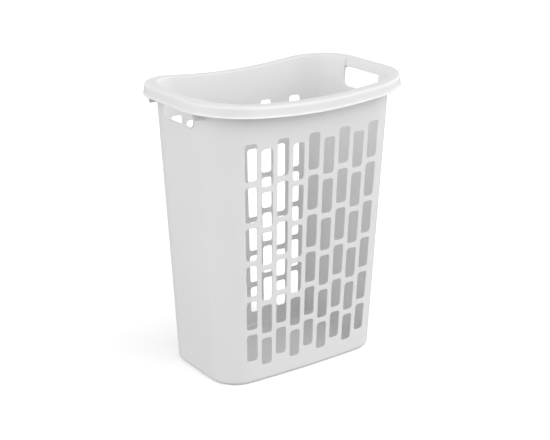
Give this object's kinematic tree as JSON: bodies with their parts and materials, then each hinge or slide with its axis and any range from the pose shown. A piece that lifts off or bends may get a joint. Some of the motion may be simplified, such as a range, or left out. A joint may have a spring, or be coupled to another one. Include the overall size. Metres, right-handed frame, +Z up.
{
  "type": "laundry hamper",
  "caption": "Open rectangular plastic laundry hamper, tapered, with slotted long walls, hand holes in the ends and a broad rolled rim that dips in the middle; no lid.",
  "frame": {"origin": "on the ground under the centre of the hamper", "axes": "+Z up, out of the open top; X along the long slotted sides, hand holes at +X and -X; Y across the narrow way"},
  "size_m": [0.4794, 0.3154, 0.5671],
  "materials": {
    "white_plastic": "satin"
  },
  "bodies": {
    "root": {"floor_panel": "white_plastic", "foot_ring": "white_plastic", "back_wall": "white_plastic", "front_wall": "white_plastic", "right_end_wall": "white_plastic", "left_end_wall": "white_plastic", "back_rim": "white_plastic", "front_rim": "white_plastic", "right_grip": "white_plastic", "left_grip": "white_plastic", "right_hand_hole_collar": "white_plastic", "left_hand_hole_collar": "white_plastic", "back_right_corner": "white_plastic", "back_right_rim": "white_plastic", "back_right_gusset": "white_plastic", "back_left_corner": "white_plastic", "back_left_rim": "white_plastic", "back_left_gusset": "white_plastic", "front_left_corner": "white_plastic", "front_left_rim": "white_plastic", "front_left_gusset": "white_plastic", "front_right_corner": "white_plastic", "front_right_rim": "white_plastic", "front_right_gusset": "white_plastic"}
  },
  "joints": []
}
